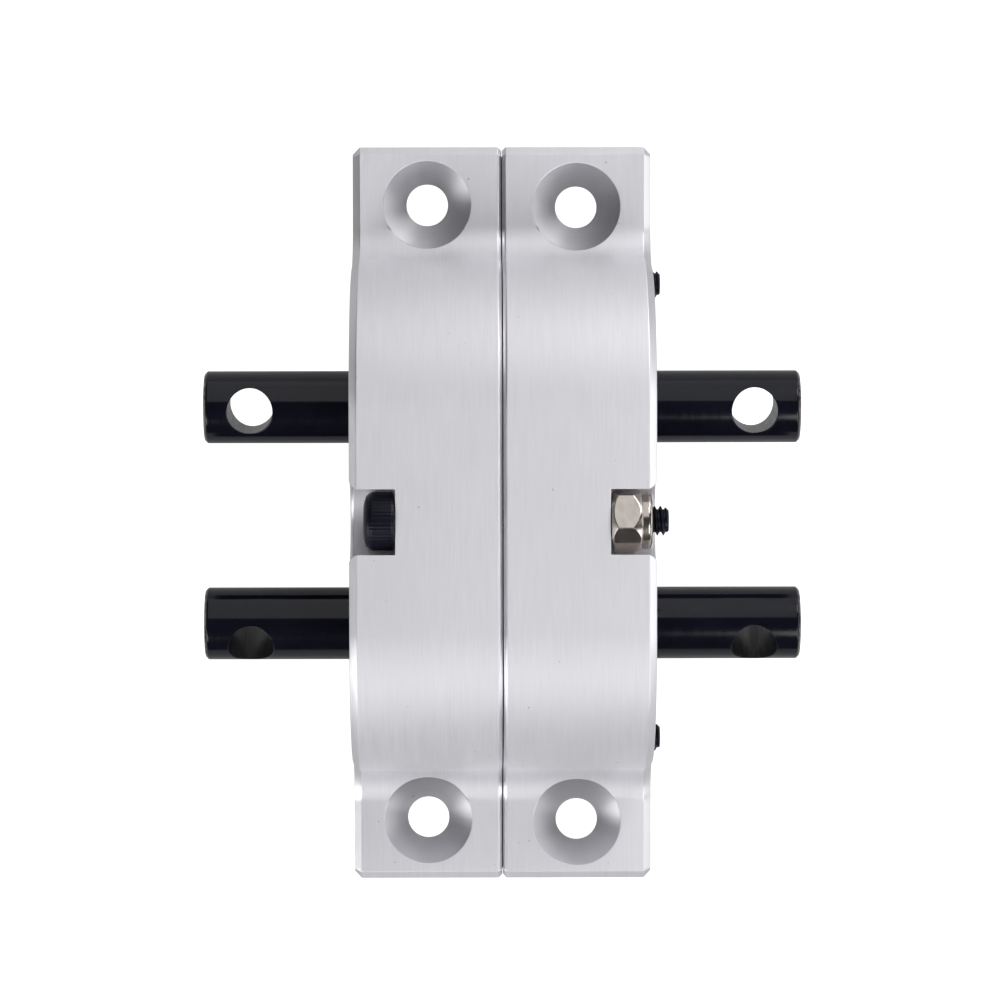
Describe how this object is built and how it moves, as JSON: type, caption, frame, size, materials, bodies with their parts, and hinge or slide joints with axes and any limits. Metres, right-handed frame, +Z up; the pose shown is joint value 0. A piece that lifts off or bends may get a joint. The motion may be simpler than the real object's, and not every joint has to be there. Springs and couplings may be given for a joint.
{
  "type": "gear transfer case",
  "caption": "Split aluminium transfer case for a small radio-controlled crawler: two parallel shafts joined by equal spur gears, on ball bearings, with countersunk mounting ears.",
  "frame": {"origin": "middle of the flat underside of the housing", "axes": "+X along the two shafts, towards the lock nuts; +Y across them, from the output shaft to the input shaft and along the housing's length; +Z up, out of the crowned side that the countersinks face"},
  "size_m": [0.0412, 0.051, 0.0211],
  "materials": {
    "case_aluminium": "fine milled and brushed, clear bead of light on the chamfers",
    "black_shaft_steel": "black oxide, satin, worn at the ends",
    "black_screw_steel": "blue-black oxide",
    "gear_steel": "hobbed, lightly oiled",
    "bearing_steel": "ground and pressed, bright",
    "ground_pin_steel": "ground",
    "nickel_plate": "nickel plate, warm, tumbled",
    "nylon": "natural nylon"
  },
  "bodies": {
    "case": {"case_half_left": "case_aluminium", "case_half_right": "case_aluminium", "case_dowel_upper": "ground_pin_steel", "case_dowel_lower": "ground_pin_steel", "centre_screw": "black_screw_steel", "centre_nut": "nickel_plate", "centre_nut_insert": "nylon", "upper_screw": "black_screw_steel", "upper_nut": "nickel_plate", "upper_nut_insert": "nylon", "lower_screw": "black_screw_steel", "lower_nut": "nickel_plate", "lower_nut_insert": "nylon", "input_bearing_left_outer_ring": "bearing_steel", "input_bearing_left_inner_shield": "bearing_steel", "input_bearing_left_outer_shield": "bearing_steel", "input_bearing_right_outer_ring": "bearing_steel", "input_bearing_right_inner_shield": "bearing_steel", "input_bearing_right_outer_shield": "bearing_steel", "output_bearing_left_outer_ring": "bearing_steel", "output_bearing_left_inner_shield": "bearing_steel", "output_bearing_left_outer_shield": "bearing_steel", "output_bearing_right_outer_ring": "bearing_steel", "output_bearing_right_inner_shield": "bearing_steel", "output_bearing_right_outer_shield": "bearing_steel"},
    "input_line": {"input_shaft": "black_shaft_steel", "input_gear": "gear_steel", "input_gear_pin": "ground_pin_steel", "input_spacer_left": "bearing_steel", "input_spacer_right": "bearing_steel", "input_bearing_left_inner_ring": "bearing_steel", "input_bearing_right_inner_ring": "bearing_steel"},
    "output_line": {"output_shaft": "black_shaft_steel", "output_gear": "gear_steel", "output_gear_pin": "ground_pin_steel", "output_spacer_left": "bearing_steel", "output_spacer_right": "bearing_steel", "output_bearing_left_inner_ring": "bearing_steel", "output_bearing_right_inner_ring": "bearing_steel"},
    "input_left_balls": {"input_bearing_left_ball_cage": "bearing_steel"},
    "input_right_balls": {"input_bearing_right_ball_cage": "bearing_steel"},
    "output_left_balls": {"output_bearing_left_ball_cage": "bearing_steel"},
    "output_right_balls": {"output_bearing_right_ball_cage": "bearing_steel"}
  },
  "joints": [
    {"name": "input_spin", "type": "hinge", "parent": "case", "child": "input_line", "pos_m": [0, 0.0075, 0.0102], "axis": [1, 0, 0], "continuous": true},
    {"name": "output_spin", "type": "hinge", "parent": "case", "child": "output_line", "pos_m": [0, -0.0075, 0.0102], "axis": [1, 0, 0], "continuous": true},
    {"name": "input_left_balls_roll", "type": "hinge", "parent": "case", "child": "input_left_balls", "pos_m": [-0.0066, 0.0075, 0.0102], "axis": [1, 0, 0], "continuous": true},
    {"name": "input_right_balls_roll", "type": "hinge", "parent": "case", "child": "input_right_balls", "pos_m": [0.0066, 0.0075, 0.0102], "axis": [1, 0, 0], "continuous": true},
    {"name": "output_left_balls_roll", "type": "hinge", "parent": "case", "child": "output_left_balls", "pos_m": [-0.0066, -0.0075, 0.0102], "axis": [1, 0, 0], "continuous": true},
    {"name": "output_right_balls_roll", "type": "hinge", "parent": "case", "child": "output_right_balls", "pos_m": [0.0066, -0.0075, 0.0102], "axis": [1, 0, 0], "continuous": true}
  ],
  "couplings": [
    {"joint": "output_spin", "follows": "input_spin", "ratio": -1},
    {"joint": "input_left_balls_roll", "follows": "input_spin", "ratio": 0.4},
    {"joint": "input_right_balls_roll", "follows": "input_spin", "ratio": 0.4},
    {"joint": "output_left_balls_roll", "follows": "input_spin", "ratio": -0.4},
    {"joint": "output_right_balls_roll", "follows": "input_spin", "ratio": -0.4}
  ]
}
